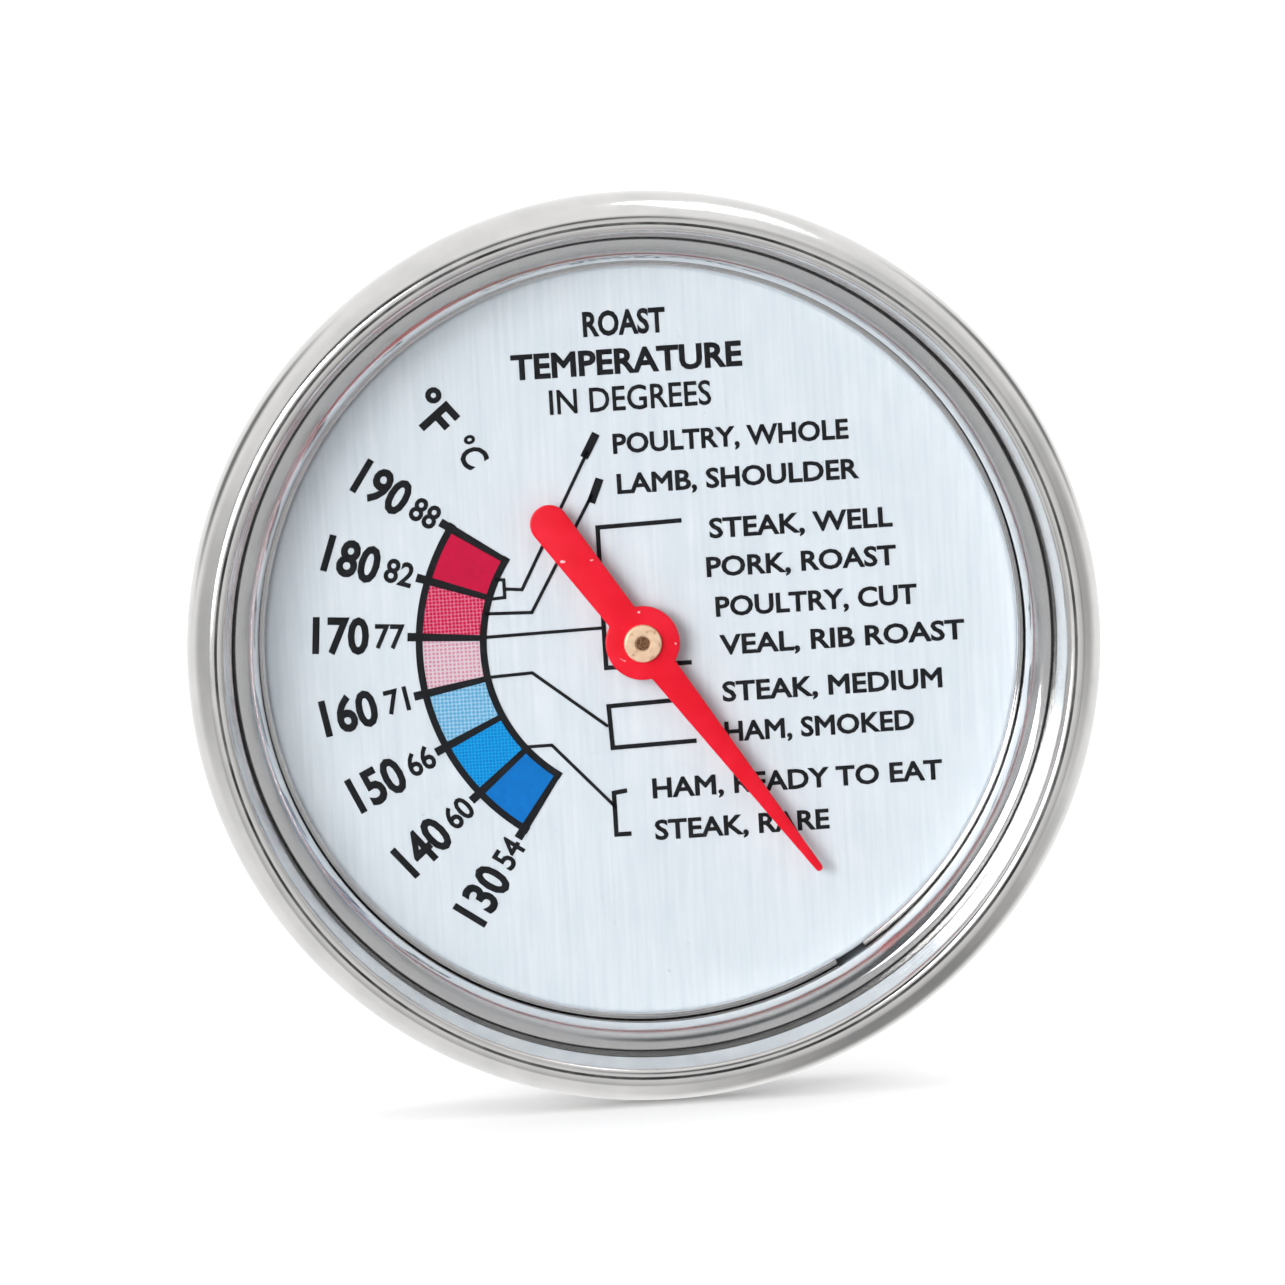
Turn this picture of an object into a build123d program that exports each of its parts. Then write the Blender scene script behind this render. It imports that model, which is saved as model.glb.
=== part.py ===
from build123d import *
import math
import os

# A dial meat thermometer with a bimetal coil in its stem. Millimetres.
# +Y runs along the stem towards its point, the dial faces -Y, and the dial's top is +Z.
# The origin is on the stem's axis, where the plain tube leaves the braze round its foot.

# Stem
tube_radius = 2.5
tube_wall = 0.35
tube_length = 90.0            # plain tube, from the braze to the cone
tube_neck_step = 0.2          # radius lost where the tube is swaged to pass through the cup
tube_shoulder_height = 0.25   # between the neck and the plain tube
cone_length = 12.5
cone_end_radius = 0.12
spigot_length = 3.0           # the point's shank inside the tube
spigot_gap = 0.02

# Braze round the foot of the tube
braze_height = 1.0
braze_reach = 0.55            # how far the fillet spreads past the tube
braze_waist_reach = 0.19      # half-way up, where the fillet is hollow
braze_waist_drop = 0.65       # that waist, below the top of the braze
braze_film = 0.03             # between the tube's neck and the edge of the cup's hole

# Case cup: one drawn sheet
cup_radius = 23.25            # outside of the side wall
cup_sheet = 0.5
cup_wall_height = 4.4         # from the flat back to the flange
cup_edge_bend = 0.7
cup_flange_bend = 1.0
flange_width = 2.6
boss_height = 1.2
boss_radius = 11.6
boss_top_width = 1.3          # flat of the boss beside the tube's neck
boss_top_bend = 10.0
boss_foot_bend = 25.0
tube_stand_in = 0.8           # how far the tube stands into the cup

# Dial, a shallow pan with a turned-back rim, and the sprung wire ring that holds it down
dial_thickness = 0.4
dial_rim_height = 1.7         # the cup's floor to the dial's face
dial_rim_bend = 0.5
dial_corner_gap = 0.02        # the rim to the cup's rounded inside corner
dial_hole_radius = 1.5
ring_wire_radius = 0.2
ring_gap = 0.02               # the wire to the cup's wall and to the dial
ring_opening = 5.0            # degrees left open between the wire's ends
ring_opening_angle = 300.0    # degrees up from +X, seen from the front

# Window and its gasket
seat_gap = 0.25               # gasket and window stop this far inside the flange's edge
gasket_thickness = 0.3
gasket_width = 1.0
lens_thickness = 1.3

# Bezel: one rolled sheet, crimped over the flange
bezel_sheet = 0.45
bezel_side_gap = 0.7          # flange's edge to the inside of the bezel's side
bezel_lip_cover = 1.45        # how far the lip reaches in over the window from the flange's edge
bezel_lip_gap = 0.03          # the lip's edge to the window
bezel_lip_drop = 1.9
bezel_lip_run = 0.5
bezel_front_width = 0.8       # between the lip's slope and the shoulder
bezel_shoulder_height = 0.9
bezel_shoulder_width = 0.3    # the shoulder's steep part, inside the side
bezel_side_lead = 2.0         # front to the straight side
bezel_tuck_height = 0.75
bezel_tuck_width = 0.5        # side to crease
bezel_crimp_rise = 0.55       # crease to the free rear edge
bezel_crimp_gap = 0.35        # free rear edge to the flange
bezel_rear_opening = 2.1      # free rear edge to the cup's wall
bezel_bends = [0.55, 0.7, 2.2, 3.4, 1.4, 0.6]

# Pointer, bush and spindle
spindle_radius = 0.4
running_gap = 0.05            # radial, spindle in its guides
spindle_recess = 0.08         # the spindle's end lies this far below the bush's face
pointer_thickness = 0.4
pointer_lift = 1.05           # dial to pointer
pointer_long_arm = 17.3
pointer_tail = 10.15
pointer_rest_angle = -55.6    # degrees up from +X, seen from the front
hub_radius = 2.2
tail_width = 2.3
tail_neck_width = 1.9
arm_width = 1.75              # where the long arm leaves the hub
arm_end_width = 0.45
bush_shank_radius = 0.8
bush_head_radius = 1.12
bush_head_height = 0.28       # in front of the pointer
bush_foot_height = 0.35       # behind it

# Guides in the tube
guide_length = 3.0
guide_gap = 0.02              # radial, guide in the tube
guide_flange_height = 0.4
lower_guide_distance = 2.0    # lower guide to the coil's collar

# Bimetal coil and the two ends that it is welded to
coil_side_gap = 0.55          # strip to the tube's bore
strip_thickness = 0.2
strip_width = 1.0
coil_pitch = 2.2
coil_turns = 15
coil_end_gap = 0.06           # the end turns stand this far off their hubs
coil_hub_length = 1.7
coil_disc_height = 0.8
coil_disc_gap = 0.3           # disc to the tube's bore
coil_edge_gap = 0.1           # strip's edge to the disc

# Places along the axis and radii that follow from the sizes above
boss_top = -braze_height
back_face = boss_top - boss_height
flange_back = back_face - cup_wall_height
flange_front = flange_back - cup_sheet
cup_floor = back_face - cup_sheet
dial_front = cup_floor - dial_rim_height
lens_back = flange_front - gasket_thickness
lens_front = lens_back - lens_thickness
lip_edge_depth = bezel_sheet * bezel_lip_run / math.hypot(bezel_lip_run, bezel_lip_drop)
bezel_front = lens_front - bezel_lip_gap - lip_edge_depth - bezel_lip_drop
pointer_back = dial_front - pointer_lift
pointer_front = pointer_back - pointer_thickness
bush_front = pointer_front - bush_head_height
tube_head = boss_top - cup_sheet - tube_stand_in
tube_end = tube_length
tube_bore = tube_radius - tube_wall
tube_neck_radius = tube_radius - tube_neck_step
tube_neck_bore = tube_neck_radius - tube_wall
spindle_bore = spindle_radius + running_gap
guide_radius = tube_bore - guide_gap
cup_bore = cup_radius - cup_sheet
cup_corner = cup_edge_bend - cup_sheet
dial_radius = cup_bore - cup_corner - dial_corner_gap
flange_radius = cup_radius + flange_width
seat_radius = flange_radius - seat_gap
bezel_radius = flange_radius + bezel_side_gap + bezel_sheet
lip_radius = flange_radius - bezel_lip_cover
coil_radius = tube_bore - coil_side_gap - strip_thickness / 2
coil_hub_radius = coil_radius - strip_thickness / 2 - coil_end_gap
coil_disc_radius = tube_bore - coil_disc_gap
anchor_back = tube_end - spigot_length
anchor_disc = anchor_back - coil_disc_height
coil_height = coil_pitch * coil_turns
coil_bottom = anchor_disc - coil_edge_gap - strip_width / 2
coil_top = coil_bottom - coil_height
collar_disc = coil_top - strip_width / 2 - coil_edge_gap


def turned(outline):
    """A closed outline of (radius, y) points, turned about the stem's axis."""
    return revolve(make_face(Polyline(*outline, close=True)), Axis.Y)


def sleeve(inner, outer, start, end):
    """A plain ring between two places on the axis, or a disc where inner is 0."""
    return turned([(inner, start), (outer, start), (outer, end), (inner, end)])


def moved_left(points, distance):
    """The corners of a bent path, with every side moved to its left by distance."""
    sides = []
    for a, b in zip(points, points[1:]):
        length = math.dist(a, b)
        across, along = -(b[1] - a[1]) / length * distance, (b[0] - a[0]) / length * distance
        sides.append([(a[0] + across, a[1] + along), (b[0] + across, b[1] + along)])
    corners = [sides[0][0]]
    for (a, b), (c, d) in zip(sides, sides[1:]):
        first, second = (b[0] - a[0], b[1] - a[1]), (d[0] - c[0], d[1] - c[1])
        cross = first[0] * second[1] - first[1] * second[0]
        share = ((c[0] - a[0]) * second[1] - (c[1] - a[1]) * second[0]) / cross
        corners.append((a[0] + first[0] * share, a[1] + first[1] * share))
    return corners + [sides[-1][1]]


def turned_sheet(points, bends, thickness):
    """A bent sheet turned about the axis. points are one skin, and the metal lies to its left.
    bends are the radii of that skin at its corners, and the other skin's follow from them."""
    other_bends = []
    for a, b, c, bend in zip(points, points[1:], points[2:], bends):
        turn = (b[0] - a[0]) * (c[1] - b[1]) - (b[1] - a[1]) * (c[0] - b[0])
        other_bends.append(bend - math.copysign(thickness, turn))
    other_points = moved_left(points, thickness)
    skin = FilletPolyline(*points, radius=bends)
    other_skin = FilletPolyline(*other_points, radius=other_bends)
    cut_edges = [Line(points[0], other_points[0]), Line(points[-1], other_points[-1])]
    return revolve(make_face([*skin.edges(), *other_skin.edges(), *cut_edges]), Axis.Y)


# Case cup, from the flange's edge to the hole for the tube
hole_radius = tube_neck_radius + braze_film
case_cup = turned_sheet(
    [
        (flange_radius, flange_back),
        (cup_radius, flange_back),
        (cup_radius, back_face),
        (boss_radius, back_face),
        (hole_radius + boss_top_width, boss_top),
        (hole_radius, boss_top),
    ],
    [cup_flange_bend, cup_edge_bend, boss_foot_bend, boss_top_bend],
    cup_sheet,
)

# Bezel, from the lip over the window, round the front and side, to the free rear edge
free_edge = flange_back + bezel_crimp_gap + bezel_sheet
crease = free_edge - bezel_crimp_rise
bezel_ring = turned_sheet(
    [
        (lip_radius, bezel_front + bezel_lip_drop),
        (lip_radius + bezel_lip_run, bezel_front),
        (lip_radius + bezel_lip_run + bezel_front_width, bezel_front),
        (bezel_radius - bezel_shoulder_width, bezel_front + bezel_shoulder_height),
        (bezel_radius, bezel_front + bezel_side_lead),
        (bezel_radius, crease - bezel_tuck_height),
        (bezel_radius - bezel_tuck_width, crease),
        (cup_radius + bezel_rear_opening, free_edge),
    ],
    bezel_bends,
    bezel_sheet,
)

# Dial, standing on the cup's floor, and the ring wedged between its rim and the cup's wall
dial_plate = turned_sheet(
    [(dial_hole_radius, dial_front), (dial_radius, dial_front), (dial_radius, cup_floor)],
    [dial_rim_bend],
    dial_thickness,
)
ring_radius = cup_bore - ring_gap - ring_wire_radius
bend_to_wire = dial_rim_bend + ring_gap + ring_wire_radius
bend_radius = dial_radius - dial_rim_bend
bend_to_wire_along = math.sqrt(bend_to_wire ** 2 - (ring_radius - bend_radius) ** 2)
ring_place = dial_front + dial_rim_bend - bend_to_wire_along
ring_end = Plane(origin=(ring_radius, ring_place, 0), x_dir=(1, 0, 0), z_dir=(0, 0, 1))
ring_start_angle = -(ring_opening_angle - ring_opening / 2)
dial_retaining_ring = Rot(0, ring_start_angle, 0) * revolve(
    ring_end * Circle(ring_wire_radius), Axis.Y, 360 - ring_opening
)

# Gasket on the flange, and the window that the bezel presses on to it
lens_gasket = sleeve(seat_radius - gasket_width, seat_radius, lens_back, flange_front)
lens = sleeve(0, seat_radius, lens_front, lens_back)

# Pointer: drawn flat with its long arm along +X, then turned to its rest angle
arm = make_face(Polyline(
    (0, arm_width / 2), (pointer_long_arm, arm_end_width / 2),
    (pointer_long_arm, -arm_end_width / 2), (0, -arm_width / 2), close=True,
))
tail_centre = pointer_tail - tail_width / 2
tail = make_face(Polyline(
    (0, tail_neck_width / 2), (-tail_centre, tail_width / 2),
    (-tail_centre, -tail_width / 2), (0, -tail_neck_width / 2), close=True,
))
blank = arm + tail + Pos(-tail_centre, 0) * Circle(tail_width / 2) + Circle(hub_radius)
blank = Rot(0, 0, pointer_rest_angle) * (blank - Circle(bush_shank_radius))
pointer_plane = Plane(origin=(0, pointer_back, 0), x_dir=(1, 0, 0), z_dir=(0, -1, 0))
pointer = extrude(pointer_plane * blank, pointer_thickness)

pointer_bush = turned([
    (spindle_radius, bush_front),
    (bush_head_radius, bush_front),
    (bush_head_radius, pointer_front),
    (bush_shank_radius, pointer_front),
    (bush_shank_radius, pointer_back),
    (bush_head_radius, pointer_back),
    (bush_head_radius, pointer_back + bush_foot_height),
    (spindle_radius, pointer_back + bush_foot_height),
])

# Coil, with its strip on edge, and the hubs that its end turns are wound round
coil_path = Helix(coil_pitch, coil_height, coil_radius, center=(0, coil_top, 0), direction=(0, 1, 0))
start = coil_path @ 0
outward = Vector(start.X, 0, start.Z)
strip_plane = Plane(origin=start, x_dir=outward, z_dir=coil_path % 0)
strip = strip_plane * Rectangle(strip_thickness, strip_width)
bimetal_helix = sweep(strip, coil_path, is_frenet=True)

collar_back = collar_disc - coil_disc_height
collar_front = collar_disc + coil_hub_length
coil_top_collar = turned([
    (spindle_radius, collar_back),
    (coil_disc_radius, collar_back),
    (coil_disc_radius, collar_disc),
    (coil_hub_radius, collar_disc),
    (coil_hub_radius, collar_front),
    (spindle_radius, collar_front),
])
coil_anchor = turned([
    (0, anchor_disc - coil_hub_length),
    (coil_hub_radius, anchor_disc - coil_hub_length),
    (coil_hub_radius, anchor_disc),
    (coil_disc_radius, anchor_disc),
    (coil_disc_radius, anchor_back),
    (0, anchor_back),
])
spindle = sleeve(0, spindle_radius, bush_front + spindle_recess, collar_front)

# Guides: a flanged one in the tube's head, one above the coil, and one midway between them
upper_guide_radius = tube_neck_bore - guide_gap
upper_guide_bush = turned([
    (spindle_bore, tube_head - guide_flange_height),
    (tube_neck_radius, tube_head - guide_flange_height),
    (tube_neck_radius, tube_head),
    (upper_guide_radius, tube_head),
    (upper_guide_radius, tube_head + guide_length),
    (spindle_bore, tube_head + guide_length),
])
lower_guide_end = collar_back - lower_guide_distance
lower_guide_bush = sleeve(
    spindle_bore, guide_radius, lower_guide_end - guide_length, lower_guide_end
)
middle_guide_start = (tube_head + lower_guide_end - guide_length) / 2
middle_guide_bush = sleeve(
    spindle_bore, guide_radius, middle_guide_start, middle_guide_start + guide_length
)

# Tube with its swaged neck, its point and the braze at its foot
stem_tube = turned([
    (tube_neck_bore, tube_head),
    (tube_neck_radius, tube_head),
    (tube_neck_radius, -tube_shoulder_height),
    (tube_radius, 0),
    (tube_radius, tube_end),
    (tube_bore, tube_end),
    (tube_bore, 0),
    (tube_neck_bore, -tube_shoulder_height),
])
spigot_radius = tube_bore - spigot_gap
stem_tip = turned([
    (0, anchor_back),
    (spigot_radius, anchor_back),
    (spigot_radius, tube_end),
    (tube_radius, tube_end),
    (cone_end_radius, tube_end + cone_length),
    (0, tube_end + cone_length),
])
braze_foot = (tube_radius + braze_reach, boss_top)
braze_waist = (tube_radius + braze_waist_reach, -braze_waist_drop)
braze_crown = (tube_radius, 0)
neck_top = (tube_neck_radius, -tube_shoulder_height)
neck_foot = (tube_neck_radius, boss_top)
braze_fillet = revolve(make_face([
    Line(neck_foot, braze_foot),
    *ThreePointArc(braze_foot, braze_waist, braze_crown).edges(),
    Line(braze_crown, neck_top),
    Line(neck_top, neck_foot),
]), Axis.Y)

os.makedirs("parts", exist_ok=True)
nodes = {
    "case_cup": case_cup,
    "bezel_ring": bezel_ring,
    "lens": lens,
    "lens_gasket": lens_gasket,
    "dial_plate": dial_plate,
    "dial_retaining_ring": dial_retaining_ring,
    "pointer": pointer,
    "pointer_bush": pointer_bush,
    "spindle": spindle,
    "upper_guide_bush": upper_guide_bush,
    "middle_guide_bush": middle_guide_bush,
    "lower_guide_bush": lower_guide_bush,
    "bimetal_helix": bimetal_helix,
    "coil_top_collar": coil_top_collar,
    "coil_anchor": coil_anchor,
    "stem_tube": stem_tube,
    "stem_tip": stem_tip,
    "braze_fillet": braze_fillet,
}
for name, shape in nodes.items():
    export_step(shape, f"parts/{name}.step")
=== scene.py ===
import math
import bpy
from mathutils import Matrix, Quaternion, Vector


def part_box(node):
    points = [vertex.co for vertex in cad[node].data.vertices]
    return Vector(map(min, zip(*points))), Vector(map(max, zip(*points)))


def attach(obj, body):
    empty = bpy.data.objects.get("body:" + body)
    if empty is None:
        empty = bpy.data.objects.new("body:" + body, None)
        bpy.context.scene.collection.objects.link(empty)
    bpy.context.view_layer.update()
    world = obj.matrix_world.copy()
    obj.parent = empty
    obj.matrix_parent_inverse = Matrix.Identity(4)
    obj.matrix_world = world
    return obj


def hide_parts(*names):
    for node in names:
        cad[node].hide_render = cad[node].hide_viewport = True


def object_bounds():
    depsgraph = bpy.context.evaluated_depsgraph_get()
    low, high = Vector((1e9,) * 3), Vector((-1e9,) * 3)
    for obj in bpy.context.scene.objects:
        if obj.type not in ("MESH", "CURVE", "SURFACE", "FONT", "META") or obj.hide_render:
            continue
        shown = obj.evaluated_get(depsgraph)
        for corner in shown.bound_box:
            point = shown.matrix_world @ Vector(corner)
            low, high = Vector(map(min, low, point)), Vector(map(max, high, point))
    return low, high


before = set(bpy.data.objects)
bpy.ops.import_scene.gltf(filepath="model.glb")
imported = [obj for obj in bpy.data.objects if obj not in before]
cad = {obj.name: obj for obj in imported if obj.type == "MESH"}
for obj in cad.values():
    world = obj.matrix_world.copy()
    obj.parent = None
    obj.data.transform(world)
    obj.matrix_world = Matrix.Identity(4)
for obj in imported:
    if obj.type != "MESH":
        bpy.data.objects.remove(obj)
cad_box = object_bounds()

# Stem tube. The real piece is 5 mm stainless tube, rolled from strip, seam-welded, drawn and then ground
# to a satin finish. Its head is swaged to a neck that passes through the cup, and is brazed there.
mm = 0.001
join_gap = 0.0005 * mm
turn_steps = 192
tube_low, tube_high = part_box("stem_tube")
tube_radius, tube_head, tube_end = tube_high.x, tube_low.y, tube_high.y
tube_wall = 0.35 * mm
swage_depth = 0.2 * mm
neck_radius = tube_radius - swage_depth
shoulder_height, shoulder_hold = 0.25 * mm, 0.2 * mm
end_round, end_hold = 0.05 * mm, 0.1 * mm


def traced(name, points, closed=True):
    """A chain of edges through the points, extruded one after another from a single vertex."""
    bpy.ops.object.select_all(action="DESELECT")
    bpy.ops.mesh.primitive_plane_add(size=mm, location=points[0])
    piece = bpy.context.object
    piece.name = piece.data.name = name
    bpy.ops.object.transform_apply(location=True)
    bpy.ops.object.mode_set(mode="EDIT")
    bpy.ops.mesh.merge(type="CENTER")
    last = Vector(points[0])
    for point in [*points[1:], *points[:1]] if closed else points[1:]:
        bpy.ops.mesh.extrude_region_move(TRANSFORM_OT_translate={"value": Vector(point) - last})
        last = Vector(point)
    bpy.ops.mesh.select_all(action="SELECT")
    bpy.ops.mesh.remove_doubles(threshold=join_gap)
    return piece


def turned(name, outline, closed=True, steps=turn_steps, sheet=0):
    """A piece turned about the stem's axis from an outline of (radius, y) points. An outline with a
    sheet thickness is one skin, and its metal lies to the left of the way it is drawn."""
    piece = traced(name, [(radius, y, 0) for radius, y in outline], closed)
    bpy.ops.mesh.spin(steps=steps, angle=math.tau, center=(0, 0, 0), axis=(0, 1, 0))
    bpy.ops.mesh.select_all(action="SELECT")
    bpy.ops.mesh.remove_doubles(threshold=join_gap)
    if not sheet:
        bpy.ops.mesh.normals_make_consistent(inside=False)
    bpy.ops.object.mode_set(mode="OBJECT")
    if sheet:
        wall = piece.modifiers.new("sheet", "SOLIDIFY")
        wall.thickness, wall.offset = sheet, -1
        wall.use_even_offset = True
        bpy.ops.object.modifier_apply(modifier=wall.name)
    bpy.ops.object.shade_smooth_by_angle(angle=math.radians(32))
    return piece


def bent(points, bends, arc_step=7, hold=0.08 * mm):
    """The corners of a (radius, y) path rounded to the radii in bends. Long straight stretches get a
    point held close to each end, so that they stay flat in reflections."""
    points = [Vector(point) for point in points]
    rounds = []
    for a, b, c, bend in zip(points, points[1:], points[2:], bends):
        ahead, after = (b - a).normalized(), (c - b).normalized()
        turn = math.atan2(ahead.cross(after), ahead.dot(after))
        start = b - ahead * bend * math.tan(abs(turn) / 2)
        centre = start + Vector((-ahead.y, ahead.x)) * math.copysign(bend, turn)
        count = max(3, round(math.degrees(abs(turn)) / arc_step))
        arm = start - centre
        rounds.append([
            centre + Vector((
                arm.x * math.cos(turn * i / count) - arm.y * math.sin(turn * i / count),
                arm.x * math.sin(turn * i / count) + arm.y * math.cos(turn * i / count),
            ))
            for i in range(count + 1)
        ])
    path = [points[0]]
    for corner in [*rounds, [points[-1]]]:
        stretch = corner[0] - path[-1]
        if stretch.length > 4 * hold:
            path += [path[-1] + stretch.normalized() * hold, corner[0] - stretch.normalized() * hold]
        path += corner
    return [(point.x, point.y) for point in path]


def new_material(name, **sockets):
    """A material of one Principled shader. sockets gives the shader's fixed values."""
    material = bpy.data.materials.new(name)
    material.use_nodes = True
    shader = material.node_tree.nodes["Principled BSDF"]
    for socket, value in sockets.items():
        shader.inputs[socket.replace("_", " ")].default_value = value
    return material


def add(material, kind, inputs=(), **settings):
    """Adds a node to a material. inputs maps each input to a value or to another node's output."""
    made = material.node_tree.nodes.new("ShaderNode" + kind)
    for key, value in settings.items():
        setattr(made, key, value)
    for key, value in dict(inputs).items():
        if isinstance(value, bpy.types.NodeSocket):
            material.node_tree.links.new(value, made.inputs[key])
        else:
            made.inputs[key].default_value = value
    return made


def ramp(material, factor, *stops):
    """A colour ramp. Each stop is a place and a grey or a colour."""
    made = add(material, "ValToRGB", {"Fac": factor})
    marks = made.color_ramp.elements
    while len(marks) < len(stops):
        marks.new(1)
    for mark, (place, colour) in zip(marks, stops):
        mark.position = place
        mark.color = (*colour, 1) if isinstance(colour, tuple) else (colour, colour, colour, 1)
    return made.outputs["Color"]


def feed(material, **links):
    """Links outputs into the material's shader."""
    shader = material.node_tree.nodes["Principled BSDF"]
    for socket, output in links.items():
        material.node_tree.links.new(output, shader.inputs[socket.replace("_", " ")])


def here(material, scale=(1, 1, 1), place=(0, 0, 0)):
    """Object coordinates in millimetres, stretched by scale and moved by place."""
    source = add(material, "TexCoord").outputs["Object"]
    scale = [s / mm for s in scale]
    moved = add(material, "Mapping", {"Vector": source, "Scale": scale, "Location": place})
    return moved.outputs["Vector"]


def noise(material, vector, scale, detail=2.0, roughness=0.5):
    """Noise over a vector, as a grey from 0 to 1."""
    inputs = {"Vector": vector, "Scale": scale, "Detail": detail, "Roughness": roughness}
    return add(material, "TexNoise", inputs).outputs["Fac"]


def bumped(material, height, strength, distance):
    """Presses a height pattern into the material's surface. distance is in metres."""
    made = add(material, "Bump", {"Height": height, "Strength": strength, "Distance": distance})
    feed(material, Normal=made.outputs["Normal"])


def mixed(material, factor, first, second, blend_type="MIX"):
    """A mix of two colours or outputs."""
    made = add(material, "Mix", data_type="RGBA", blend_type=blend_type)
    for index, value in ((0, factor), (6, first), (7, second)):
        if isinstance(value, bpy.types.NodeSocket):
            material.node_tree.links.new(value, made.inputs[index])
        elif isinstance(value, tuple):
            made.inputs[index].default_value = (*value, 1)
        else:
            made.inputs[index].default_value = value
    return made.outputs[2]


stem_steel = new_material("ground stem steel", Metallic=1.0)
grinding = noise(stem_steel, here(stem_steel, (0.5, 14, 0.5)), 1.0, 4.0)
smears = noise(stem_steel, here(stem_steel, (0.8, 0.12, 0.8)), 1.0, 3.0)
steel_tone = ramp(stem_steel, smears, (0.3, (0.50, 0.50, 0.51)), (0.75, (0.66, 0.65, 0.65)))
along = add(stem_steel, "SeparateXYZ", {"Vector": here(stem_steel, (0, 1, 0))}).outputs["Y"]
heat_edge = add(stem_steel, "Math", {0: along, 1: smears}, operation="SUBTRACT").outputs["Value"]
heat_place = add(stem_steel, "MapRange", {"Value": heat_edge, "From Min": -1.0, "From Max": 7.0})
heat_tint = ramp(
    stem_steel, heat_place.outputs["Result"],
    (0.05, (0.46, 0.35, 0.26)), (0.13, (0.24, 0.25, 0.31)), (0.36, (0.36, 0.40, 0.46)), (0.62, (1, 1, 1)),
)
feed(
    stem_steel,
    Base_Color=mixed(stem_steel, 1.0, steel_tone, heat_tint, "MULTIPLY"),
    Roughness=ramp(stem_steel, grinding, (0.25, 0.22), (0.8, 0.36)),
)
bumped(stem_steel, grinding, 0.25, 0.004 * mm)

stem_tube = turned("stem_tube_drawn", [
    (neck_radius - tube_wall, tube_head),
    (neck_radius - end_round, tube_head),
    (neck_radius, tube_head + end_round),
    (neck_radius, -shoulder_height),
    (tube_radius, 0),
    (tube_radius, shoulder_hold),
    (tube_radius, tube_end - end_hold),
    (tube_radius, tube_end),
    (tube_radius - tube_wall, tube_end),
    (tube_radius - tube_wall, 0),
    (neck_radius - tube_wall, -shoulder_height),
])
stem_tube.data.materials.append(stem_steel)
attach(stem_tube, "case")
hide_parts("stem_tube")

# Weld seam. The tube's long seam is rolled flat after welding and shows as a fine dark line. It wanders
# a little round the tube, by the angles seam_wander and seam_drift, and ends short of the braze.
seam_width = 0.14 * mm
seam_proud = 0.014 * mm
seam_angle = math.radians(63)
seam_start, seam_end = 22 * mm, tube_end - 0.3 * mm
seam_steps = 40
seam_drift = 0.0009
seam_wander, wander_length = 0.02, 9 * mm


def on_tube(angle, y):
    """A point on the tube's outside."""
    return (tube_radius * math.cos(angle), y, tube_radius * math.sin(angle))


seam_steel = new_material("weld seam steel", Metallic=1.0)
seam_mottle = noise(seam_steel, here(seam_steel, (1, 3, 1)), 2.0, 3.0)
feed(
    seam_steel,
    Base_Color=ramp(seam_steel, seam_mottle, (0.35, (0.10, 0.09, 0.10)), (0.7, (0.30, 0.28, 0.28))),
    Roughness=ramp(seam_steel, seam_mottle, (0.3, 0.35), (0.7, 0.55)),
)
middle_angle = seam_angle + seam_drift * (seam_start + seam_end) / 2 / mm
across = Vector((-math.sin(middle_angle), 0, math.cos(middle_angle))) * seam_width
seam_line = []
for i in range(seam_steps + 1):
    y = seam_start + (seam_end - seam_start) * i / seam_steps
    wander = seam_wander * math.sin(y / wander_length) + seam_drift * y / mm
    seam_line.append(Vector(on_tube(seam_angle + wander, y)) - across / 2)
tube_seam = traced("tube_weld_seam", seam_line, closed=False)
bpy.ops.mesh.extrude_region_move(TRANSFORM_OT_translate={"value": across})
bpy.ops.mesh.select_all(action="SELECT")
bpy.ops.mesh.normals_make_consistent(inside=False)
bpy.ops.object.mode_set(mode="OBJECT")
seam_wall = tube_seam.modifiers.new("wall", "SOLIDIFY")
seam_wall.thickness, seam_wall.offset = 2 * seam_proud, 0
bpy.ops.object.modifier_apply(modifier=seam_wall.name)
tube_seam.data.materials.append(seam_steel)
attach(tube_seam, "case")

# Stem tip. A stainless plug whose spigot sits in the tube's end, turned and ground to a long point.
# The grinding wheel leaves fine rings and a darker, bluer steel than the tube's.
tip_low, tip_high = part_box("stem_tip")
tip_point = tip_high.y
spigot_clearance = 0.02 * mm
spigot_radius = tube_radius - tube_wall - spigot_clearance
base_edge, base_round = 0.02 * mm, 0.06 * mm
point_radius = 0.12 * mm
point_rounding = [(1.6, 0.75 * mm), (1.0, 0.2 * mm), (0.55, 0.04 * mm)]

tip_steel = new_material("ground tip steel", Metallic=1.0)
tip_rings = noise(tip_steel, here(tip_steel, (0.3, 22, 0.3)), 1.0, 3.0)
tip_patches = noise(tip_steel, here(tip_steel, (0.5, 0.25, 0.5)), 1.0, 3.0)
feed(
    tip_steel,
    Base_Color=ramp(tip_steel, tip_patches, (0.3, (0.36, 0.38, 0.42)), (0.7, (0.62, 0.63, 0.66))),
    Roughness=ramp(tip_steel, tip_rings, (0.25, 0.16), (0.8, 0.34)),
)
bumped(tip_steel, tip_rings, 0.3, 0.005 * mm)

stem_tip = turned("stem_tip_ground", [
    (0, tip_low.y),
    (spigot_radius - base_round, tip_low.y),
    (spigot_radius, tip_low.y + base_round),
    (spigot_radius, tube_end),
    (tube_radius, tube_end),
    (tube_radius, tube_end + base_edge),
    (tube_radius - base_round, tube_end + base_round * 3),
    *[(point_radius * share, tip_point - short_of) for share, short_of in point_rounding],
    (0, tip_point),
], closed=False)
stem_tip.data.materials.append(tip_steel)
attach(stem_tip, "case")
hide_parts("stem_tip")

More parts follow.
